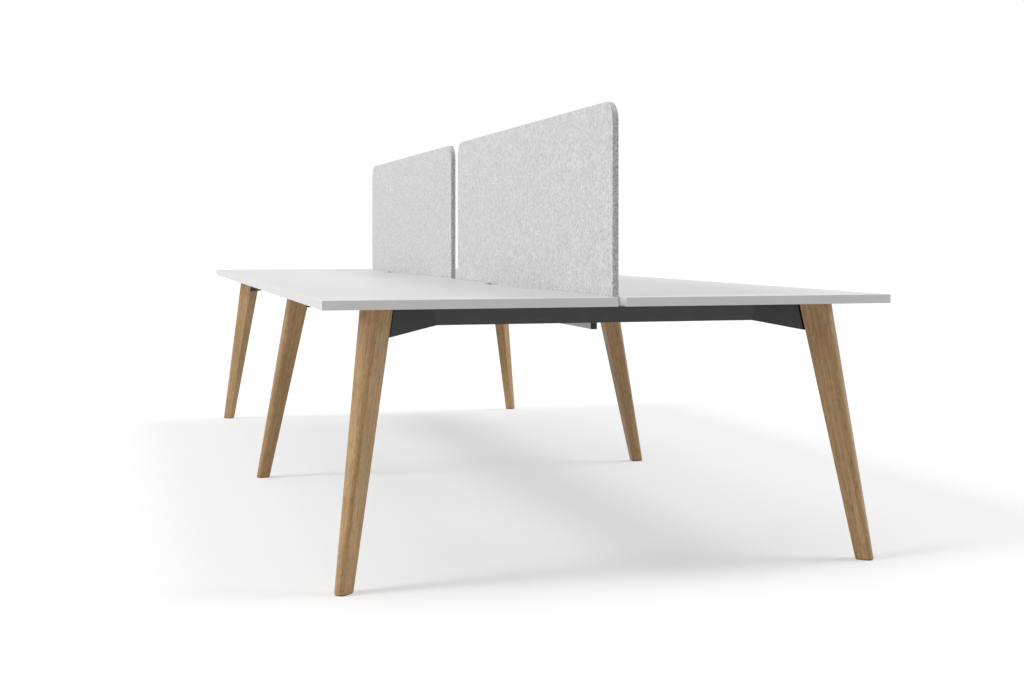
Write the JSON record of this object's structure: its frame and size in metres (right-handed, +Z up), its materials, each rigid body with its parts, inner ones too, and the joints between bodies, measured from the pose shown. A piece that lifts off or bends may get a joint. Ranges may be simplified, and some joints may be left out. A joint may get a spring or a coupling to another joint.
{
  "type": "office workstation desk",
  "caption": "Face-to-face bench desk with pale worktops on both sides of a felt screen, tapered splayed oak legs, dark steel cross-beams and levelling feet.",
  "frame": {"origin": "on the floor under the middle of the desk", "axes": "+X to the right across the desk, +Y along the desk towards its rear bay, +Z up"},
  "size_m": [1.6, 3.8, 1.28],
  "materials": {
    "worktop": "satin",
    "edge_band": "satin",
    "felt": "matte",
    "oak": "satin",
    "frame": "satin",
    "bracket": "satin",
    "leg_pad": "matte",
    "glide": "matte",
    "hardware": "satin"
  },
  "bodies": {
    "desk": {"beam_front": "frame", "beam_middle": "frame", "beam_rear": "frame", "bracket_screws": "hardware", "edge_band_front_left": "edge_band", "edge_band_front_right": "edge_band", "edge_band_rear_left": "edge_band", "edge_band_rear_right": "edge_band", "foot_inserts": "hardware", "gusset_front_left": "frame", "gusset_front_right": "frame", "gusset_middle_left": "frame", "gusset_middle_right": "frame", "gusset_rear_left": "frame", "gusset_rear_right": "frame", "leg_bolts": "hardware", "leg_front_left": "oak", "leg_front_right": "oak", "leg_middle_left": "oak", "leg_middle_right": "oak", "leg_nuts": "hardware", "leg_pads": "leg_pad", "leg_rear_left": "oak", "leg_rear_right": "oak", "rail_bolts": "hardware", "rail_front_left": "frame", "rail_front_right": "frame", "rail_nuts": "hardware", "rail_rear_left": "frame", "rail_rear_right": "frame", "screen_bracket_front_far": "bracket", "screen_bracket_front_near": "bracket", "screen_bracket_rear_far": "bracket", "screen_bracket_rear_near": "bracket", "screen_front": "felt", "screen_rear": "felt", "top_screws": "hardware", "worktop_front_left": "worktop", "worktop_front_right": "worktop", "worktop_rear_left": "worktop", "worktop_rear_right": "worktop"},
    "glide_front_left": {"foot_pad_front_left": "glide"},
    "stud_front_left": {"foot_stud_front_left": "hardware"},
    "glide_front_right": {"foot_pad_front_right": "glide"},
    "stud_front_right": {"foot_stud_front_right": "hardware"},
    "glide_middle_left": {"foot_pad_middle_left": "glide"},
    "stud_middle_left": {"foot_stud_middle_left": "hardware"},
    "glide_middle_right": {"foot_pad_middle_right": "glide"},
    "stud_middle_right": {"foot_stud_middle_right": "hardware"},
    "glide_rear_left": {"foot_pad_rear_left": "glide"},
    "stud_rear_left": {"foot_stud_rear_left": "hardware"},
    "glide_rear_right": {"foot_pad_rear_right": "glide"},
    "stud_rear_right": {"foot_stud_rear_right": "hardware"}
  },
  "joints": [
    {"name": "glide_front_left_travel", "type": "slide", "parent": "desk", "child": "glide_front_left", "axis": [0, 0, 1], "range_m": [-0.012, 0]},
    {"name": "stud_front_left_turn", "type": "hinge", "parent": "glide_front_left", "child": "stud_front_left", "pos_m": [-0.742, -1.861, 0.02], "axis": [0, 0, 1], "range_deg": [-3456, 0]},
    {"name": "glide_front_right_travel", "type": "slide", "parent": "desk", "child": "glide_front_right", "axis": [0, 0, 1], "range_m": [-0.012, 0]},
    {"name": "stud_front_right_turn", "type": "hinge", "parent": "glide_front_right", "child": "stud_front_right", "pos_m": [0.742, -1.861, 0.02], "axis": [0, 0, 1], "range_deg": [-3456, 0]},
    {"name": "glide_middle_left_travel", "type": "slide", "parent": "desk", "child": "glide_middle_left", "axis": [0, 0, 1], "range_m": [-0.012, 0]},
    {"name": "stud_middle_left_turn", "type": "hinge", "parent": "glide_middle_left", "child": "stud_middle_left", "pos_m": [-0.756, 0, 0.02], "axis": [0, 0, 1], "range_deg": [-3456, 0]},
    {"name": "glide_middle_right_travel", "type": "slide", "parent": "desk", "child": "glide_middle_right", "axis": [0, 0, 1], "range_m": [-0.012, 0]},
    {"name": "stud_middle_right_turn", "type": "hinge", "parent": "glide_middle_right", "child": "stud_middle_right", "pos_m": [0.756, 0, 0.02], "axis": [0, 0, 1], "range_deg": [-3456, 0]},
    {"name": "glide_rear_left_travel", "type": "slide", "parent": "desk", "child": "glide_rear_left", "axis": [0, 0, 1], "range_m": [-0.012, 0]},
    {"name": "stud_rear_left_turn", "type": "hinge", "parent": "glide_rear_left", "child": "stud_rear_left", "pos_m": [-0.742, 1.861, 0.02], "axis": [0, 0, 1], "range_deg": [-3456, 0]},
    {"name": "glide_rear_right_travel", "type": "slide", "parent": "desk", "child": "glide_rear_right", "axis": [0, 0, 1], "range_m": [-0.012, 0]},
    {"name": "stud_rear_right_turn", "type": "hinge", "parent": "glide_rear_right", "child": "stud_rear_right", "pos_m": [0.742, 1.861, 0.02], "axis": [0, 0, 1], "range_deg": [-3456, 0]}
  ],
  "couplings": [
    {"joint": "stud_front_left_turn", "follows": "glide_front_left_travel", "rad_per_m": 5026.5},
    {"joint": "stud_front_right_turn", "follows": "glide_front_right_travel", "rad_per_m": 5026.5},
    {"joint": "stud_middle_left_turn", "follows": "glide_middle_left_travel", "rad_per_m": 5026.5},
    {"joint": "stud_middle_right_turn", "follows": "glide_middle_right_travel", "rad_per_m": 5026.5},
    {"joint": "stud_rear_left_turn", "follows": "glide_rear_left_travel", "rad_per_m": 5026.5},
    {"joint": "stud_rear_right_turn", "follows": "glide_rear_right_travel", "rad_per_m": 5026.5}
  ]
}
